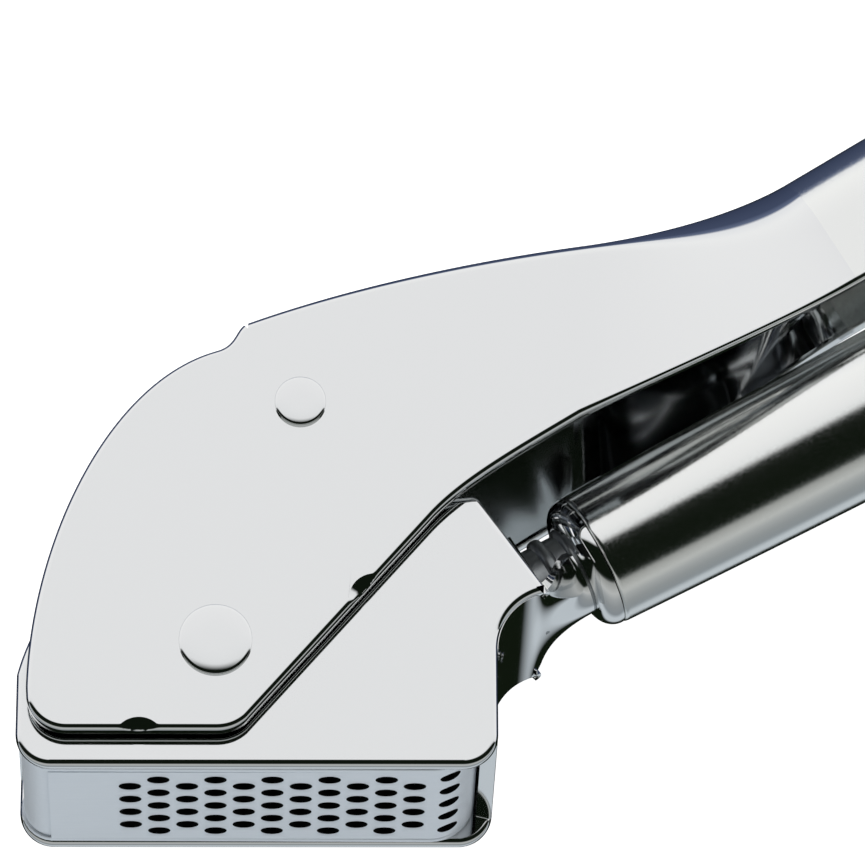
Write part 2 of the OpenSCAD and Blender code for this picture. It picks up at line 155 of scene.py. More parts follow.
def add_grain(tree, shader, size_mm, rough_from, rough_to, depth_mm, stretch=(1, 1, 1), detail=3.0):
    """Noise of one grain size, on Object coordinates, that varies the roughness between two
    values and raises a bump of that depth."""
    place = add_node(tree, "ShaderNodeTexCoord")
    turned_place = add_node(tree, "ShaderNodeMapping", [("Vector", place, "Object")])
    turned_place.inputs["Scale"].default_value = stretch
    noise = add_node(tree, "ShaderNodeTexNoise", [("Vector", turned_place, "Vector")],
                     scale=1000 / size_mm, detail=detail, roughness=0.6)
    rough = add_node(tree, "ShaderNodeMapRange", [("Value", noise, "Fac")])
    rough.inputs["From Min"].default_value = 0.3
    rough.inputs["From Max"].default_value = 0.7
    rough.inputs["To Min"].default_value = rough_from
    rough.inputs["To Max"].default_value = rough_to
    tree.links.new(rough.outputs["Result"], shader.inputs["Roughness"])
    bump = add_node(tree, "ShaderNodeBump", [("Height", noise, "Fac")], distance=depth_mm / 1000)
    bump.inputs["Strength"].default_value = 1.0
    tree.links.new(bump.outputs["Normal"], shader.inputs["Normal"])


# Mirror-polished 18/10 stainless steel: sharp reflections, a faint haze where the
# buffing wheel left it, and hairlines too fine to show as more than a softening.
polished_steel, polished_tree, polished_shader = new_steel("mirror_polished_stainless", "#E9EAEA", 0.05)
add_grain(polished_tree, polished_shader, 9.0, 0.035, 0.07, 0.0004)

MID = (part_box("lever_head")[0].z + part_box("lever_head")[1].z) * 500
HALF_LEVER = (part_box("lever_head")[1].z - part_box("lever_head")[0].z) * 500
LEVER_T = 2.0
LEVER_RIM = 0.7
INNER_RIM = 0.3
TOP_CORNER_R = {"notch": 0.9, "neck": 1.6, "seam": 7.5}
SEAM = np.array([70.6, 54.6])
UPPER_ANGLE = 31.0
TUBE_FRONT_R = 8.1
LOWER_REACH = 8.5
LOWER_CORNER_R = 1.2
LOWER_TUCK = 10.0
SLIT_LEN = 40.0
SEAM_HALF = 9.7
TUBE_WIDE_R = 9.3
TUBE_WIDE_AT = 75.0


def curve(p, q, r, s, share):
    """Points of a cubic curve with these four control points, at shares from 0 to 1."""
    t = np.asarray(share)[:, None]
    p, q, r, s = (np.array(point, float) for point in (p, q, r, s))
    return (1 - t) ** 3 * p + 3 * (1 - t) ** 2 * t * q + 3 * (1 - t) * t ** 2 * r + t ** 3 * s


def arc(centre, radius, start, end, count):
    """Points of a circle's arc, from one angle in degrees to another."""
    a = np.radians(np.linspace(start, end, count))
    return np.array(centre, float) + radius * np.column_stack([np.cos(a), np.sin(a)])


def evenly(points, count):
    """A polyline walked at equal steps of its length."""
    steps = np.concatenate([[0], np.cumsum(np.linalg.norm(np.diff(points, axis=0), axis=1))])
    at = np.linspace(0, steps[-1], count)
    return np.column_stack([np.interp(at, steps, points[:, k]) for k in range(2)])


def tube_radius(along):
    """A tube's outer radius: widest at one place, falling off with the square of the distance."""
    return TUBE_WIDE_R - (TUBE_WIDE_R - TUBE_FRONT_R) * ((along - TUBE_WIDE_AT) / TUBE_WIDE_AT) ** 2


def ease(share):
    """A share from 0 to 1 that leaves and arrives level: three squares less two cubes."""
    return share ** 2 * (3 - 2 * share)


def dimpled(points, nicks, depth):
    """An edge with cone-shaped nicks: points inside a nick's circle, which shrinks as it goes down
    the sheet's thickness, move straight away from the centre out to the circle."""
    for centre, radius in nicks:
        reach = radius * max(0.0, 1 - depth / NICK_DEPTH)
        away = points - np.array(centre)
        distance = np.linalg.norm(away, axis=-1, keepdims=True)
        points = np.where(distance < reach, np.array(centre) + away / distance * reach, points)
    return points


def edge_normals(points, closed=False):
    """Unit normals to the right of an edge's direction of travel, from its neighbours' difference."""
    along = np.roll(points, -1, 0) - np.roll(points, 1, 0) if closed else np.gradient(points, axis=0)
    normals = np.column_stack([along[:, 1], -along[:, 0]])
    return normals / np.linalg.norm(normals, axis=1)[:, None]


def grid_faces(rows, columns, wrap=False, first=0):
    """Quads between the neighbouring points of a grid, which may close on itself across."""
    r, c = np.meshgrid(np.arange(rows - 1), np.arange(columns if wrap else columns - 1), indexing="ij")
    ahead = (c + 1) % columns
    return (first + np.stack([r * columns + c, r * columns + ahead,
                              (r + 1) * columns + ahead, (r + 1) * columns + c], -1)).reshape(-1, 4)


def make_piece(name, parts, body, material, replaces=(), sharp=35.0):
    """A closed piece from (points in millimetres, faces) parts: the parts' points are stacked, each
    part's faces count on from the points before it, doubles merge and the faces turn outwards."""
    firsts = np.concatenate([[0], np.cumsum([len(points) for points, faces in parts])])
    faces = [(np.asarray(face) + first).tolist()
             for (points, part), first in zip(parts, firsts) for face in part]
    mesh = bpy.data.meshes.new(name)
    mesh.from_pydata(np.vstack([points for points, part in parts]) / 1000, [], faces)
    shape = bmesh.new()
    shape.from_mesh(mesh)
    bmesh.ops.remove_doubles(shape, verts=shape.verts, dist=1e-6)
    bmesh.ops.dissolve_degenerate(shape, edges=shape.edges, dist=1e-6)
    bmesh.ops.recalc_face_normals(shape, faces=shape.faces)
    shape.to_mesh(mesh)
    shape.free()
    mesh.polygons.foreach_set("use_smooth", np.ones(len(mesh.polygons), bool))
    mesh.set_sharp_from_angle(angle=radians(sharp))
    mesh.materials.append(material)
    piece = bpy.data.objects.new(name, mesh)
    bpy.context.scene.collection.objects.link(piece)
    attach(piece, body)
    if replaces:
        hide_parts(*replaces)
    even_shading = piece.modifiers.new("even_shading", "WEIGHTED_NORMAL")
    even_shading.keep_sharp = True
    return piece


EAR_LOW = -10.7
HEEL = np.array([0.2, EAR_LOW])
WEB_START = np.array([3.7, 38.8])
STEP_FOOT = np.array([-0.1, 35.3])
HEAD_END_TOP = (42.0, 48.6)
HEAD_END_LOW = (42.0, 27.5)
NICKS = [((-8.7, EAR_LOW - 1.5), 3.0), ((18.2, 5.1), 3.0)]
NICK_DEPTH = 1.2
OUTER_POINTS, SIDE_START, SIDE_END = 45, 22, 33
HEAD_ROWS, NECK_ROWS, SLIT_ROWS = 140, 70, 50

# The sheet's rim, outer corner then inner corner: how far out, and how far below the face
outer_turn = np.radians(np.linspace(0, 90, 8)[1:])
inner_turn = np.radians(np.linspace(0, 90, 6)[1:])
RIM_OUT = np.concatenate([LEVER_RIM * np.sin(outer_turn),
                          LEVER_RIM - INNER_RIM * (1 - np.cos(inner_turn))])
RIM_DOWN = np.concatenate([LEVER_RIM * (1 - np.cos(outer_turn)),
                           LEVER_T - INNER_RIM * (1 - np.sin(inner_turn))])

along_up = np.array([np.cos(np.radians(UPPER_ANGLE)), np.sin(np.radians(UPPER_ANGLE))])
across_up = np.array([-along_up[1], along_up[0]])
neck_share = np.linspace(0, 1, NECK_ROWS + 1)[1:]
slit_share = np.linspace(0, 1, SLIT_ROWS + 1)[1:]
slit_along = slit_share[:, None] * SLIT_LEN
slit_r = tube_radius(slit_along)
head_top = evenly(curve(WEB_START, (15, 43.2), (29, 46.6), HEAD_END_TOP, np.linspace(0, 1, 60)), HEAD_ROWS)
neck_top_end = SEAM + across_up * TUBE_FRONT_R
neck_top = curve(HEAD_END_TOP, (51, 49.9), neck_top_end - along_up * 7, neck_top_end, neck_share)
head_low = evenly(np.vstack([arc(HEEL + [0, 5], 5, 270, 313, 12),
                             curve((25, 15.2), (28.6, 19.2), (34.5, 22.8), HEAD_END_LOW,
                                   np.linspace(0, 1, 30))]), HEAD_ROWS)
neck_low_end = SEAM - across_up * LOWER_REACH
neck_low = curve(HEAD_END_LOW, (50.2, 31.6), neck_low_end - along_up * 9, neck_low_end, neck_share)
lower_reach = LOWER_REACH + (slit_r - LOWER_REACH) * ease(slit_share)[:, None]
axis_points = SEAM + along_up * slit_along
shell_top = np.vstack([head_top, neck_top, axis_points + across_up * slit_r])
shell_low = np.vstack([head_low, neck_low, axis_points - across_up * lower_reach])
neck_grown = np.concatenate([np.zeros(HEAD_ROWS), neck_share, np.ones(SLIT_ROWS)])
slit_grown = np.concatenate([np.zeros(HEAD_ROWS + NECK_ROWS),
                             ease(np.clip(slit_share / 0.65 - 0.54, 0, 1))])
head_grown = np.concatenate([np.linspace(0, 1, HEAD_ROWS), np.ones(NECK_ROWS + SLIT_ROWS)])
final_r = np.concatenate([np.full(HEAD_ROWS + NECK_ROWS, TUBE_FRONT_R), slit_r[:, 0]])
seam_half = np.concatenate([np.full(HEAD_ROWS + NECK_ROWS, SEAM_HALF),
                            SEAM_HALF + (slit_r[:, 0] - SEAM_HALF) * slit_share])
half_width = HALF_LEVER + (seam_half - HALF_LEVER) * ease(neck_grown)
top_r = (TOP_CORNER_R["notch"] + (TOP_CORNER_R["neck"] - TOP_CORNER_R["notch"]) * head_grown
         + (TOP_CORNER_R["seam"] - TOP_CORNER_R["neck"]) * ease(neck_grown))
top_r = top_r + (final_r - top_r) * slit_grown
low_r = 0.3 + (LOWER_CORNER_R - 0.3) * neck_grown
low_r = low_r + (final_r - low_r) * slit_grown
tuck = LOWER_TUCK * neck_grown + (90 - LOWER_TUCK) * slit_grown


def channel_section(top, low, outward, width, corner_r, lower_r, lower_angle):
    """Half of the channel's closed section at every station: along the web from the middle, round
    the corner, down the side, round the lower corner, about the sheet's rounded rim, and back
    inside at the sheet's thickness. Each point is a place across and a depth below the top."""
    phi = np.radians(lower_angle)[:, None]
    width, corner_r, lower_r = width[:, None], corner_r[:, None], lower_r[:, None]
    plain_end = low - outward * LEVER_RIM * np.cos(phi)
    share = np.linspace(0, 1, 12)[None]
    one = np.ones_like(width)
    a = share[:, 1:] * np.pi / 2
    b = share[:, 1:] * phi
    across = np.hstack([(width - corner_r) * share, width - corner_r + corner_r * np.sin(a),
                        width + 0 * share[:, 1:], width - lower_r + lower_r * np.cos(b)])
    out_across = np.hstack([0 * share * one, np.sin(a) * one, one + 0 * share[:, 1:], np.cos(b) * one])
    out_depth = np.hstack([-1 + 0 * share * one, -np.cos(a) * one, 0 * one * share[:, 1:], np.sin(b) * one])
    faces = []
    for end, inwards in ((dimpled(plain_end, NICKS, 0.0), 0.0), (plain_end, LEVER_T)):
        height = np.linalg.norm(top - end, axis=1)[:, None]
        down = (end - top) / height
        side_low = height - lower_r * np.sin(phi)
        depth = np.hstack([0 * share * one, corner_r - corner_r * np.cos(a),
                           corner_r + (side_low - corner_r) * share[:, 1:], side_low + lower_r * np.sin(b)])
        faces.append(top[:, None] + down[:, None] * (depth - inwards * out_depth)[:, :, None])
    rim_across = across[:, -1:] - RIM_DOWN * np.cos(phi) - RIM_OUT * np.sin(phi)
    rim = []
    for out, below in zip(RIM_OUT, RIM_DOWN):
        place = plain_end - down * below * np.sin(phi) + outward * np.cos(phi) * out
        rim.append(dimpled(place, NICKS, below))
    flat = np.concatenate([faces[0], np.stack(rim, 1), faces[1][:, ::-1]], 1)
    z = np.hstack([across, rim_across, (across - LEVER_T * out_across)[:, ::-1]])
    return np.dstack([flat, z])


def mirrored_loop(half):
    """The whole section: the half, then its mirror image on the far side, back to the start."""
    far = half[:, -2:0:-1] * [1, 1, -1]
    loop = np.concatenate([half, far], 1)
    loop[:, :, 2] += MID
    return loop


def paired_cap(loop_size, half_size, first, pairs):
    """Faces that close a section's end between its outer line and its inner line, point by point."""
    k = np.arange(pairs)
    near = np.stack([k, k + 1, half_size - 2 - k, half_size - 1 - k], -1)
    return [*(first + near), *(first + (loop_size - near) % loop_size)]


def channel_part(half, open_side=False):
    """A stretch of the channel: closed at its last section, and at its first one too, apart from the
    sides where the ears go on."""
    loop = mirrored_loop(half)
    rows, columns = loop.shape[:2]
    last = (rows - 1) * columns
    rim = np.arange(OUTER_POINTS - 1, half.shape[1] - OUTER_POINTS + 1)
    faces = [*grid_faces(rows, columns, wrap=True),
             *paired_cap(columns, half.shape[1], last, OUTER_POINTS - 1),
             last + rim, last + (columns - rim)]
    faces += paired_cap(columns, half.shape[1], 0, SIDE_START if open_side else OUTER_POINTS - 1)
    if not open_side:
        faces += [rim, columns - rim]
    return loop.reshape(-1, 3), faces


outward = edge_normals(shell_low)
outward[0] = (0, -1)
half = channel_section(shell_top, shell_low, outward, half_width, top_r, low_r, tuck)
seam_row = HEAD_ROWS + NECK_ROWS
channel = channel_part(half[:seam_row], open_side=True)

EAR_ROWS = 260
NOSE_R = 4.6
NOSE = (-17, EAR_LOW + NOSE_R)
notch = curve(STEP_FOOT, (2.2, 35.9), (2.1, 37.5), (3.15, 38.45), np.linspace(0, 1, 16))
front_edge = np.vstack([HEEL, arc(NOSE, NOSE_R, 270, 190, 24),
                        curve((-21.6, -5.5), (-21.2, 12), (-12.5, 31.5), STEP_FOOT,
                              np.linspace(0, 1, 60)),
                        notch[1:]])
front_edge = evenly(front_edge, EAR_ROWS)


def ear_plate(edge, section, side):
    """One ear's front: two flat faces that share the channel's first section, and the same rounded
    rim as the rest of the sheet carried round the front edge between them."""
    outer_side = section[SIDE_START:SIDE_END + 1, :2]
    inner_side = section[::-1][SIDE_START:SIDE_END + 1, :2]
    out = -edge_normals(edge)
    rim_start = edge - out * LEVER_RIM
    outer, inner = dimpled(rim_start, NICKS, 0.0), rim_start.copy()
    outer[0], outer[-1], inner[0], inner[-1] = outer_side[-1], outer_side[0], inner_side[-1], inner_side[0]
    rim = [dimpled(rim_start + out * reach, NICKS, below) for reach, below in zip(RIM_OUT, RIM_DOWN)]
    flat = np.stack([outer, *rim, inner], 1)
    z = np.concatenate([[HALF_LEVER], HALF_LEVER - RIM_DOWN, [HALF_LEVER - LEVER_T]])
    strip = np.dstack([flat, np.broadcast_to(MID + side * z, flat.shape[:2])]).reshape(-1, 3)
    rows, columns = flat.shape[:2]
    joints = [np.column_stack([line[1:-1], np.full(len(line) - 2, MID + side * level)])
              for line, level in ((outer_side, HALF_LEVER), (inner_side, HALF_LEVER - LEVER_T))]
    count = len(joints[0])
    first = rows * columns
    outer_face = [*range(0, first, columns), *range(first, first + count)]
    inner_face = [*range(columns - 1, first, columns), *range(first + count, first + 2 * count)]
    end_cap = range(first - columns, first)
    return np.vstack([strip, *joints]), [*grid_faces(rows, columns), outer_face, inner_face, list(end_cap)]


ears = [ear_plate(front_edge, half[0], side) for side in (1, -1)]
make_piece("lever_pressing", [channel, *ears], "lever", polished_steel,
           replaces=("lever_head", "lever_neck"))


# ---- Upper handle ----
# A barrel-shaped tube of 1 mm stainless, slit underneath next to the lever's neck where
# the channel runs out into it, glass-bead blasted to an even satin and closed by a dome.

# Bead-blasted stainless: fine pits of about a third of a millimetre that spread a
# highlight evenly, drawn a little coarse so that the grain shows.
satin_steel, satin_tree, satin_shader = new_steel("bead_blasted_stainless", "#EEEFED", 0.16)
add_grain(satin_tree, satin_shader, 0.32, 0.1, 0.19, 0.003, detail=2.0)

TUBE_WALL = 1.0
UPPER_LEN = 68.0
TURNS = 96


def on_handle(start, angle, radius, along, around):
    """Places points on a handle: a distance along its axis and a radius at an angle around it."""
    a = np.radians(angle)
    up = radius * np.sin(around)
    x = start[0] + along * np.cos(a) - up * np.sin(a)
    y = start[1] + along * np.sin(a) + up * np.cos(a)
    return np.stack(np.broadcast_arrays(x, y, MID + radius * np.cos(around)), -1)


def turned(profile, start, angle):
    """A profile of (radius, distance along) carried once around a handle's axis."""
    profile = np.asarray(profile, float)
    around = np.linspace(0, 2 * np.pi, TURNS, endpoint=False)[None]
    points = on_handle(start, angle, profile[:, :1], profile[:, 1:], around)
    return points.reshape(-1, 3), grid_faces(len(profile), TURNS, wrap=True)


def closed_profile(profile):
    """A profile that ends where it begins, for a ring or a tube."""
    return np.vstack([profile, profile[:1]])


upper_stations = np.linspace(SLIT_LEN, UPPER_LEN, 24)
upper_wall = np.column_stack([tube_radius(upper_stations), upper_stations])
upper_inside = upper_wall[::-1] - [TUBE_WALL, 0]
make_piece("upper_handle_satin_tube",
           [channel_part(half[seam_row - 1:]),
            turned(closed_profile(np.vstack([upper_wall, upper_inside])), SEAM, UPPER_ANGLE)],
           "lever", satin_steel, replaces=("upper_handle_tube",))


def dome(length, rise=4.2, depth=6.0, lip=0.25):
    """An end plug's profile: a plug inside the tube, a rounded lip and a quarter-ellipse dome."""
    r = tube_radius(length)
    a = np.radians(np.linspace(0, 90, 18))
    crown = np.column_stack([(r - 0.1) * np.cos(a), length + 0.3 + (rise - 0.3) * np.sin(a)])
    plug = [(0, length - depth), (r - TUBE_WALL - 0.05, length - depth), (r - TUBE_WALL - 0.05, length),
            (r - 0.1 - lip, length), (r - 0.1, length + lip)]
    return np.vstack([plug, crown])


make_piece("upper_handle_dome", [turned(dome(UPPER_LEN), SEAM, UPPER_ANGLE)],
           "lever", polished_steel, replaces=("upper_end_plug",))

# ---- Body ----
# Two polished 1.9 mm side plates with a front wall and a rear wall between them, all of
# one blank folded up and welded, its outer edges rounded over by the polishing.
HALF_BODY = (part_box("body_shell")[1].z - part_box("body_shell")[0].z) * 500
PLATE_T = 1.9
HALF_CHAMBER = HALF_BODY - PLATE_T
BODY_FRONT, BODY_REAR, BODY_LOW = -22.8, 32.3, -14.0
CORNER_R = 4.0
WALL_T = 1.8
NECK_FOOT = np.array([BODY_REAR, 0.3])
NECK_BEND_R = 6.9
PLATE_PEAK = np.array([31.0, 18.6])

body_outline = np.vstack([
    arc((BODY_FRONT + CORNER_R, BODY_LOW + CORNER_R), CORNER_R, 180, 270, 24),
    arc((BODY_REAR - CORNER_R, BODY_LOW + CORNER_R), CORNER_R, 270, 360, 24),
    arc(NECK_FOOT + [NECK_BEND_R, 0], NECK_BEND_R, 180, 98, 24),
    arc(PLATE_PEAK - [1.6, 1.2], 1.2, 30, 95, 8),
    curve((-5, 15.2), (-15, 14), (-21, 4), (BODY_FRONT + 0.1, -3), np.linspace(0, 1, 24))])


def rounded_plate(outline, low, high, edge_r, steps=5):
    """An outline carried up a plate's thickness: near each face it is drawn in as a quarter circle
    falls away, then once more on the level, so that the face itself stays exactly flat."""
    normals = edge_normals(outline, closed=True)
    a = np.radians(np.linspace(0, 90, steps + 1))
    inset = edge_r * (1 - np.cos(a))
    lift = edge_r * np.sin(a)
    insets = np.concatenate([[edge_r + 0.06], inset[::-1], inset, [edge_r + 0.06]])
    levels = np.concatenate([[low], low + edge_r - lift[::-1], high - edge_r + lift, [high]])
    flat = outline[None] - normals[None] * insets[:, None, None]
    points = np.dstack([flat, np.broadcast_to(levels[:, None], flat.shape[:2])])
    count = len(outline)
    last = (len(levels) - 1) * count
    return points.reshape(-1, 3), [*grid_faces(len(levels), count, wrap=True),
                                   list(range(count)), list(range(last, last + count))]


def sheet_strip(path, thickness, half, edge_r=0.2):
    """A strip of sheet bent along a side-view path and as wide as the space between two plates."""
    left = -edge_normals(path)
    outline = np.vstack([path, (path + left * thickness)[::-1]])
    return rounded_plate(outline, MID - half, MID + half, edge_r)


rear_path = np.vstack([arc((BODY_REAR - CORNER_R, BODY_LOW + CORNER_R), CORNER_R, 345, 360, 6),
                       [BODY_REAR, 0.0]])
FRONT_WALL_LOW, FRONT_WALL_TOP = -6.3, 2.5
at_front = ((body_outline[:, 0] < -20) & (body_outline[:, 1] > FRONT_WALL_LOW)
            & (body_outline[:, 1] < FRONT_WALL_TOP))
front_path = np.vstack([body_outline[at_front], [BODY_FRONT, FRONT_WALL_LOW]]) + [0.05, 0]
body_parts = [rounded_plate(body_outline, MID + low, MID + high, 0.7)
              for low, high in ((HALF_CHAMBER, HALF_BODY), (-HALF_BODY, -HALF_CHAMBER))]
body_parts += [sheet_strip(path, WALL_T, HALF_CHAMBER) for path in (rear_path, front_path)]
make_piece("body_side_plates", body_parts, "press_body", polished_steel,
           replaces=("body_shell",))

# ---- Neck ----
# Under the plates' corner a polished web bends out to the handle and narrows to the
# neck, a tumbled casting with two grooves that the tube's collar is pressed on to.
LOWER_START = np.array([43.7, 16.2])
LOWER_ANGLE = 29.0
NECK_R = TUBE_FRONT_R * 0.7
COLLAR_LEN = 2.4
WEB_ROWS, WEB_POINTS = 70, 33
WEB_END_R = NECK_R - 0.2
along_low = np.array([np.cos(np.radians(LOWER_ANGLE)), np.sin(np.radians(LOWER_ANGLE))])
across_low = np.array([-along_low[1], along_low[0]])

# Tumbled investment-cast stainless: a dull grey skin with soft pits of about a millimetre.
cast_steel, cast_tree, cast_shader = new_steel("tumbled_cast_stainless", "#A4A8AA", 0.34)
add_grain(cast_tree, cast_shader, 1.1, 0.28, 0.48, 0.03)


def web_surface(thickness):
    """The web's sheet: its path bends with the plates' hollow corner and runs on to the collar; its
    section turns from a flat one of the plates' width to a half circle under the neck."""
    bend = arc(NECK_FOOT + [NECK_BEND_R, 0], NECK_BEND_R - 0.06, 180, 106, 40)
    end = LOWER_START - along_low * (COLLAR_LEN + 0.3) - across_low * WEB_END_R
    path = evenly(np.vstack([bend, curve(bend[-1], bend[-1] + [1.6, 0.5], end - along_low * 2.0, end,
                                         np.linspace(0, 1, 30)[1:])]), WEB_ROWS)
    share = np.linspace(0, 1, WEB_ROWS)
    closing = np.clip((share - 0.5) / 0.5, 0, 1)
    closing = ease(closing)[:, None]
    half = (HALF_BODY - 0.75) * (1 - closing) + WEB_END_R * closing
    v = np.linspace(-1, 1, WEB_POINTS)[None]
    inside = -edge_normals(path)
    across = half * (v * (1 - closing) + np.sin(v * np.pi / 2) * closing)
    rise = WEB_END_R * closing * (1 - np.cos(v * np.pi / 2))
    layers = []
    for depth in (0.0, thickness):
        flat = path[:, None] + inside[:, None] * (rise + depth)[:, :, None]
        layers.append(np.dstack([flat, MID + across * (1 - depth * closing / NECK_R)]))
    points = np.concatenate([layers[0], layers[1][:, ::-1]], 1)
    count = points.shape[1]
    caps = [[row * count + k for k in range(count)] for row in (0, WEB_ROWS - 1)]
    return points.reshape(-1, 3), [*grid_faces(WEB_ROWS, count, wrap=True), *caps]


make_piece("neck_web_sheet", [web_surface(1.2)], "press_body", polished_steel,
           replaces=("neck_web",))

NECK_RING_R = NECK_R - 0.4
# Where each raised ring of the neck starts and ends along the handle's axis
NECK_RINGS = ((-9.5, -7.6), (-6.0, -4.4), (-3.0, 7.0))
neck_profile = [(0, NECK_RINGS[0][0])]
for start, end in NECK_RINGS:
    neck_profile += [(NECK_RING_R - 0.6, start), (NECK_RING_R - 0.12, start + 0.25),
                     (NECK_RING_R, start + 0.6), (NECK_RING_R, end - 0.6),
                     (NECK_RING_R - 0.12, end - 0.25), (NECK_RING_R - 0.6, end)]
neck_profile += [(0, NECK_RINGS[-1][1])]
neck_tip = NECK_FOOT + NECK_BEND_R * np.array([1 + np.cos(np.radians(98)), np.sin(np.radians(98))])
block_top = neck_tip + 8.5 * np.array([np.cos(np.radians(121)), np.sin(np.radians(121))])
block_outline = evenly(np.array([neck_tip + [-1.2, 2.2], block_top, block_top - [3, 1.6],
                                 neck_tip + [-5.8, 2.4], neck_tip + [-1.2, 2.2]]), 60)[:-1]
make_piece("neck_casting", [turned(neck_profile, LOWER_START, LOWER_ANGLE)],
           "press_body", cast_steel, replaces=("neck_block",), sharp=50)

# The block that ties the plates together over the neck is painted near black and matt as painted shade,
# standing for the shade between the plates: next to nothing comes back from it.
painted_shade_steel, painted_shade_tree, painted_shade_shader = new_steel("painted_shade_black_cast_stainless", "#111312", 0.7, 0.0)
painted_shade_shader.inputs["Specular IOR Level"].default_value = 0.15
add_grain(painted_shade_tree, painted_shade_shader, 0.9, 0.65, 0.8, 0.02)
make_piece("neck_cross_block",
           [rounded_plate(block_outline, MID - HALF_CHAMBER + 0.05, MID + HALF_CHAMBER - 0.05, 0.3)],
           "press_body", painted_shade_steel)

# ---- Collar ----
# A polished ring with a full round shoulder, pressed on the neck against the tube, whose
# front edge it covers.
shoulder = arc((TUBE_FRONT_R - COLLAR_LEN, -0.1), COLLAR_LEN - 0.1, -88, 0, 20)
collar_profile = np.vstack([[(NECK_RING_R, -0.02), (NECK_RING_R, -COLLAR_LEN), (NECK_R, -COLLAR_LEN - 0.05)],
                            shoulder, [(TUBE_FRONT_R - 0.25, -0.02)]])
make_piece("collar_ring", [turned(closed_profile(collar_profile), LOWER_START, LOWER_ANGLE)],
           "press_body", polished_steel, replaces=("tube_collar",))

# ---- Lower handle ----
# The same blasted tube, longer, with a rolled front edge. Its dome carries a flat
# tongue with an eye to hang the press from.
LOWER_LEN = 110.0
lower_stations = np.linspace(0.6, LOWER_LEN, 60)
lower_outside = np.column_stack([tube_radius(lower_stations), lower_stations])
rolled = arc((TUBE_FRONT_R - 0.5, 0.52), 0.5, -90, -8, 8)
lower_wall = np.vstack([[(TUBE_FRONT_R - TUBE_WALL, 0.02)], rolled, lower_outside,
                        lower_outside[::-4] - [TUBE_WALL, 0]])
make_piece("lower_handle_satin_tube", [turned(closed_profile(lower_wall), LOWER_START, LOWER_ANGLE)],
           "press_body", satin_steel, replaces=("lower_handle_tube",))

TONGUE_R, TONGUE_T, TONGUE_REACH = 5.6, 4.0, 17.0
TONGUE_EDGE_R = 0.8
EYE_R = 2.5
EYE_EDGE_R = 0.5


def tongue(start, angle):
    """The tongue: two mirrored sheets of rings between the eye's circle and the tongue's outline,
    drawn in near both faces by a quarter circle to round its edges."""
    count = 96
    a = np.linspace(0, 2 * np.pi, count, endpoint=False)
    eye = np.column_stack([np.cos(a), np.sin(a)])
    straight = TONGUE_REACH - TONGUE_R
    to_root = straight / np.maximum(-np.cos(a), 1e-6)
    to_side = TONGUE_R / np.maximum(np.abs(np.sin(a)), 1e-6)
    stretch = np.where(np.cos(a) < 0, np.minimum(to_root, to_side), TONGUE_R)
    outline = eye * stretch[:, None]
    b = np.radians(np.linspace(0, 90, 6))
    rings = []
    for share in np.linspace(0, 1, 5):
        level_edge = outline * (1 - TONGUE_EDGE_R / stretch[:, None])
        rings.append((eye * (EYE_R + EYE_EDGE_R) * (1 - share) + level_edge * share, TONGUE_T / 2))
    for k in b[::-1]:
        rings.append((outline * (1 - TONGUE_EDGE_R * (1 - np.cos(k)) / stretch[:, None]),
                      TONGUE_T / 2 - TONGUE_EDGE_R * (1 - np.sin(k))))
    half = [np.column_stack([ring, np.full(count, level)]) for ring, level in rings]
    lip = [np.column_stack([eye * (EYE_R + EYE_EDGE_R * (1 - np.cos(k))),
                            np.full(count, TONGUE_T / 2 - EYE_EDGE_R * (1 - np.sin(k)))]) for k in b]
    upper = lip + half
    lower = [ring * [1, 1, -1] for ring in upper[::-1]]
    rings = np.array(upper + lower)
    c, s = np.cos(np.radians(angle)), np.sin(np.radians(angle))
    x = start[0] + rings[..., 0] * c - rings[..., 1] * s
    y = start[1] + rings[..., 0] * s + rings[..., 1] * c
    points = np.stack([x, y, MID + rings[..., 2]], -1)
    points = np.concatenate([points, points[:1]])
    return points.reshape(-1, 3), grid_faces(len(points), count, wrap=True)


eye_place = LOWER_START + along_low * (LOWER_LEN + TONGUE_REACH - TONGUE_R)
make_piece("lower_handle_dome",
           [turned(dome(LOWER_LEN), LOWER_START, LOWER_ANGLE), tongue(eye_place, LOWER_ANGLE)],
           "press_body", polished_steel, replaces=("lower_end_plug",))

# ---- Rivets ----
# Polished rivets with flat heads and rounded rims: two at the fulcrum, set from the
# chamber outwards, and one long pin that carries the plunger between the ears.
HEAD_H = (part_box("plunger_pin")[1].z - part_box("plunger_pin")[0].z) * 500 - HALF_LEVER
RIM_R = 0.15
CROWN = 0.05


def rivet(place, shank_r, head_r, inner_level, side):
    """A rivet turned about its own axis: shank, underside of the head, rounded rim, and a crown that
    falls off with the fourth power of the distance from the middle."""
    top = HALF_LEVER + HEAD_H
    rim = arc((head_r - RIM_R, top - CROWN * head_r - RIM_R), RIM_R, 0, 76, 8)
    radius = np.linspace(head_r - RIM_R, 0, 20)
    crown = np.column_stack([radius, top - CROWN * head_r * (radius / head_r) ** 4])
    profile = np.vstack([[(0, inner_level), (shank_r, inner_level), (shank_r, HALF_LEVER + 0.01),
                          (head_r - 0.25, HALF_LEVER + 0.01)], rim, crown])
    a = np.linspace(0, 2 * np.pi, TURNS, endpoint=False)[None]
    x = place[0] + profile[:, :1] * np.cos(a)
    y = place[1] + profile[:, :1] * np.sin(a)
    points = np.stack(np.broadcast_arrays(x, y, MID + side * profile[:, 1:]), -1)
    return points.reshape(-1, 3), grid_faces(len(profile), TURNS, wrap=True)


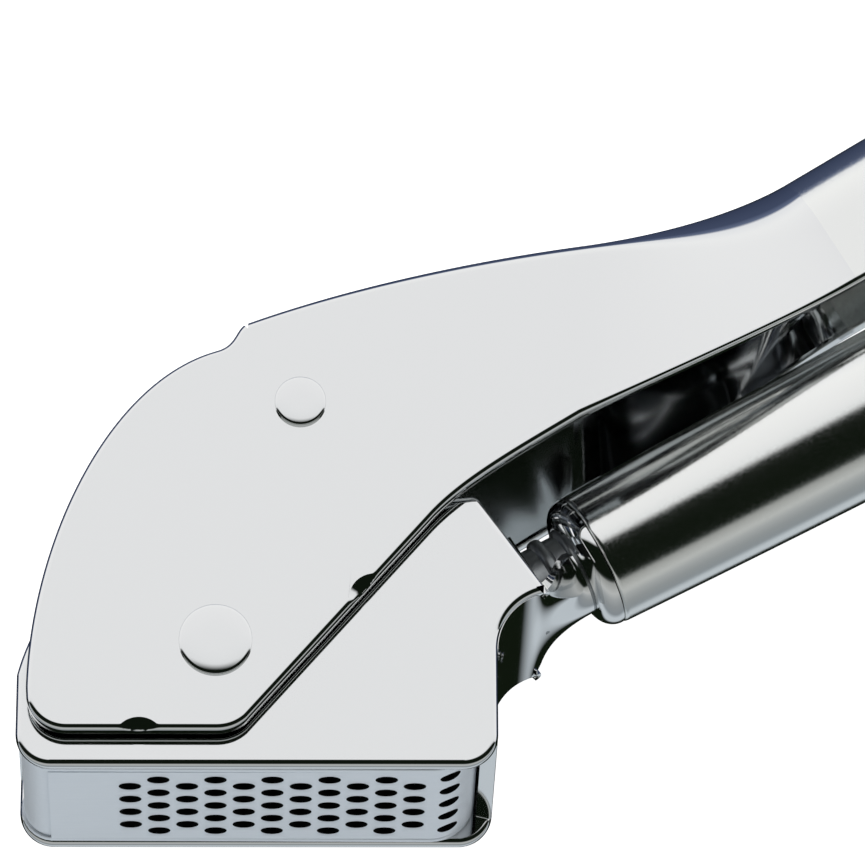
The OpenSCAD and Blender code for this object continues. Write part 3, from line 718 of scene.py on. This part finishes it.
FULCRUM_R, FULCRUM_HEAD_R = 3.0, 4.2
make_piece("fulcrum_rivet_pair",
           [rivet((0, 0), FULCRUM_R, FULCRUM_HEAD_R, HALF_CHAMBER, side) for side in (1, -1)],
           "press_body", polished_steel, replaces=("fulcrum_rivets",))
PLUNGER_PIVOT = (9.7, 28.9)
PIN_R, PIN_HEAD_R = 2.0, 2.95
make_piece("plunger_pivot_pin",
           [rivet(PLUNGER_PIVOT, PIN_R, PIN_HEAD_R, 0.0, side) for side in (1, -1)],
           "lever", polished_steel, replaces=("plunger_pin",))

# ---- Sieve ----
# A folded tray of 1 mm stainless, hinged at the front: a punched floor that bends up
# at the rear, two side rails, and a lip to pull it open by. Satin-brushed, cool grey.

# Brushed stainless sheet: a cool blue-grey with faint straight hairlines along X.
sieve_steel, sieve_tree, sieve_shader = new_steel("brushed_stainless_sheet", "#D3DBE3", 0.3, 0.3)
add_grain(sieve_tree, sieve_shader, 0.35, 0.28, 0.42, 0.002, stretch=(0.08, 1, 1))

SIEVE_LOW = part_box("sieve_plate")[0].y * 1000
SIEVE_PIVOT = (BODY_FRONT + CORNER_R, BODY_LOW + CORNER_R)
SIEVE_T = 1.0
BEND_R = 5.2
SIEVE_REAR = BODY_REAR - WALL_T - 0.3
REAR_TOP = -7.5
BEND_X = SIEVE_REAR - BEND_R
RAIL_TOP = -4.5
HOLE_R = 1.25
HOLE_PITCH, HOLE_GAP = 3.27, 4.8
FIRST_COLUMN = -9.8
COLUMNS = 11
HALF_FLOOR = (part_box("sieve_plate")[1].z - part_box("sieve_plate")[0].z) * 500
HALF_PUNCHED = 12.0
CELL_STEPS = 8


def bent_sheet(along, across, depth):
    """Takes a flat place on the tray's sheet to the bent one: level floor, a quarter turn at the
    rear, then straight up; the depth is measured from the outer face inwards."""
    turn = np.clip((along - BEND_X) / BEND_R, 0, np.pi / 2)
    past = np.clip(along - BEND_X - BEND_R * np.pi / 2, 0, None)
    r = BEND_R - depth
    x = np.where(along < BEND_X, along, BEND_X + r * np.sin(turn))
    y = SIEVE_LOW + BEND_R - r * np.cos(turn) + past
    return np.stack(np.broadcast_arrays(x, y, MID + across), -1)


def punched_cell(x0, x1, centre_x, z):
    """One cell of the floor: rings between its rectangle and the hole, over both faces and
    through the sheet, with the hole's edge rounded on the outside where the punch went in."""
    side = np.linspace(-1, 1, CELL_STEPS + 1)[:-1]
    one = np.ones(CELL_STEPS)
    square = np.vstack([np.column_stack([side, -one]), np.column_stack([one, side]),
                        np.column_stack([-side, one]), np.column_stack([-one, -side])])
    edge = np.column_stack([(x0 + x1) / 2 + square[:, 0] * (x1 - x0) / 2,
                            z + square[:, 1] * HOLE_GAP / 2])
    a = np.arctan2(square[:, 1] * HOLE_GAP, square[:, 0] * (x1 - x0))
    circle = np.column_stack([np.cos(a), np.sin(a)])
    centre = np.array([centre_x, z])
    rings = [(edge, 0.0), (centre + circle * (HOLE_R + 0.2), 0.0), (centre + circle * (HOLE_R + 0.06), 0.06),
             (centre + circle * HOLE_R, 0.2), (centre + circle * HOLE_R, SIEVE_T), (edge, SIEVE_T)]
    points = np.array([bent_sheet(ring[:, 0], ring[:, 1], depth) for ring, depth in rings])
    return points.reshape(-1, 3), grid_faces(len(rings), 4 * CELL_STEPS, wrap=True)


def plain_strip(along, across):
    """A stretch of the tray's sheet with no holes: a grid on both faces."""
    a, c = np.meshgrid(along, across, indexing="ij")
    outer, inner = bent_sheet(a, c, 0.0), bent_sheet(a, c, SIEVE_T)
    shape = (len(along), len(across))
    return [(outer.reshape(-1, 3), grid_faces(*shape)), (inner.reshape(-1, 3), grid_faces(*shape))]


def sheet_edge(along, across):
    """The cut edge of the sheet, between its two faces along a line of places."""
    points = np.array([bent_sheet(along, across, depth) for depth in (0.0, SIEVE_T)])
    return points.reshape(-1, 3), grid_faces(2, len(along))


column_edges = FIRST_COLUMN + HOLE_PITCH * (np.arange(COLUMNS + 1) - 0.5)
bend_column = BEND_X + BEND_R * np.radians(23)
bend_end = 2 * bend_column - column_edges[-1]
cells = [(column_edges[i], column_edges[i + 1], FIRST_COLUMN + HOLE_PITCH * i, 4 + i % 2)
         for i in range(COLUMNS)]
cells.append((column_edges[-1], bend_end, bend_column, 5))
unit = HOLE_GAP / CELL_STEPS
tray_parts = []
for x0, x1, centre_x, count in cells:
    tray_parts += [punched_cell(x0, x1, centre_x, (k - (count - 1) / 2) * HOLE_GAP) for k in range(count)]
    span = np.linspace(x0, x1, CELL_STEPS + 1)
    for side in (-1, 1):
        margin = np.arange(count * HOLE_GAP / 2, HALF_PUNCHED + 0.01, unit)
        margin = np.append(margin, HALF_FLOOR) * side
        tray_parts += plain_strip(span, margin)
        tray_parts.append(sheet_edge(span, np.full(len(span), side * HALF_FLOOR)))
wide = np.concatenate([[-HALF_FLOOR], np.arange(-HALF_PUNCHED, HALF_PUNCHED + 0.01, unit), [HALF_FLOOR]])
sheet_start = SIEVE_PIVOT[0] - 0.3
sheet_end = BEND_X + BEND_R * np.pi / 2 + REAR_TOP - SIEVE_LOW - BEND_R
for span in (np.linspace(sheet_start, column_edges[0], 8), np.linspace(bend_end, sheet_end, 12)):
    tray_parts += plain_strip(span, wide)
    tray_parts += [sheet_edge(span, np.full(len(span), side * HALF_FLOOR)) for side in (-1, 1)]
tray_parts += [sheet_edge(np.full(len(wide), end), wide) for end in (sheet_start, sheet_end)]
sieve_tray = make_piece("sieve_tray", tray_parts, "sieve_insert", sieve_steel,
                        replaces=("sieve_plate",))

# Sheared stainless, where the punch tore through: matt, and set near black, darker than bare steel would be:
# painted shade, so that the holes read as dark openings when seen at a low angle.
sheared_edge_painted_shade_steel, sheared_edge_painted_shade_tree, sheared_edge_painted_shade_shader = new_steel("sheared_stainless_edge_painted_shade", "#0C0E0D", 0.8, 0.0)
sheared_edge_painted_shade_shader.inputs["Specular IOR Level"].default_value = 0.1
add_grain(sheared_edge_painted_shade_tree, sheared_edge_painted_shade_shader, 0.3, 0.7, 0.9, 0.004)
sieve_tray.data.materials.append(sheared_edge_painted_shade_steel)
centres = np.empty(len(sieve_tray.data.polygons) * 3)
sieve_tray.data.polygons.foreach_get("center", centres)
x, y, z = (centres.reshape(-1, 3) * 1000).T
# Depth below the outer face: on the floor, or inside the bend's outer radius
below = np.where(x < BEND_X, y - SIEVE_LOW, BEND_R - np.hypot(x - BEND_X, y - SIEVE_LOW - BEND_R))
# The punched holes' walls, which take the near-black painted-shade material
painted_shade_hole_walls = ((below > 0.1) & (below < 0.9 * SIEVE_T) & (abs(z - MID) < HALF_FLOOR - 0.2)
        & (x > column_edges[0]) & (y < SIEVE_LOW + 0.8 * BEND_R))
sieve_tray.data.polygons.foreach_set("material_index", painted_shade_hole_walls.astype(np.int32))

BARREL_R = SIEVE_PIVOT[1] - SIEVE_LOW
HALF_SIEVE = (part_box("sieve_rails")[1].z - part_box("sieve_rails")[0].z) * 500
barrel_outer = arc(SIEVE_PIVOT, BARREL_R - 0.35, 268, 90, 40)
barrel_inner = arc(SIEVE_PIVOT, 1.3, 90, 268, 24)
make_piece("sieve_hinge_barrel",
           [rounded_plate(np.vstack([barrel_outer, barrel_inner])[::-1],
                          MID - HALF_FLOOR, MID + HALF_FLOOR, 0.15)],
           "sieve_insert", sieve_steel)

RAIL_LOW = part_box("sieve_rails")[0].y * 1000
rail_outline = np.vstack([arc(SIEVE_PIVOT, BARREL_R, 90, 262, 30),
                          arc((SIEVE_REAR - BEND_R, RAIL_LOW + BEND_R), BEND_R, 270, 360, 20),
                          [(SIEVE_REAR, REAR_TOP), (SIEVE_REAR - 2.5, RAIL_TOP)]])
rail_outline = evenly(np.vstack([rail_outline, rail_outline[:1]]), 160)[:-1]
make_piece("sieve_side_rails",
           [rounded_plate(rail_outline, MID + low, MID + high, 0.3)
            for low, high in ((HALF_FLOOR, HALF_SIEVE), (-HALF_SIEVE, -HALF_FLOOR))],
           "sieve_insert", sieve_steel, replaces=("sieve_rails",))

# A short tab on the tray's rear edge, folded thick, gives a fingernail something to pull.
LIP_HALF = 5.0
lip_front, lip_rear = SIEVE_REAR - 1.2, SIEVE_REAR - 0.05
lip_low, lip_top = REAR_TOP - 0.5, REAR_TOP + 1.2
lip_outline = evenly(np.array([(lip_front, lip_low), (lip_rear, lip_low), (lip_rear, lip_top),
                               (lip_front, lip_top), (lip_front, lip_low)]), 60)[:-1]
make_piece("sieve_thumb_lip", [rounded_plate(lip_outline, MID - LIP_HALF, MID + LIP_HALF, 0.25)],
           "sieve_insert", sieve_steel, replaces=("sieve_latch_lip",))

# ---- Small parts and plunger ----
# Turned washers, spacers and pins of plain stainless, and the cast plunger with its
# bracket: their carried-over shapes are right and get real finishes, but the plunger's shoe is painted near
# black as painted shade.

# Turned stainless bar: fine tool rings that only show as a soft sheen.
turned_steel, turned_tree, turned_shader = new_steel("turned_stainless_bar", "#BFC2C3", 0.25)
add_grain(turned_tree, turned_shader, 0.5, 0.2, 0.32, 0.003, stretch=(1, 1, 4))


def finish_node(node, material):
    """Gives a carried-over CAD piece a new material in place of the ones it came with."""
    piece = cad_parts[node]
    piece.data.materials.clear()
    piece.data.materials.append(material)


for node in ("fulcrum_washers", "sieve_hinge_pin", "pin_spacers", "shoe_rivets"):
    finish_node(node, turned_steel)
finish_node("plunger_bracket", cast_steel)
# The plunger's shoe takes the near-black painted-shade material: painted shade inside the chamber, not the
# steel's own colour.
finish_node("plunger_shoe", painted_shade_steel)
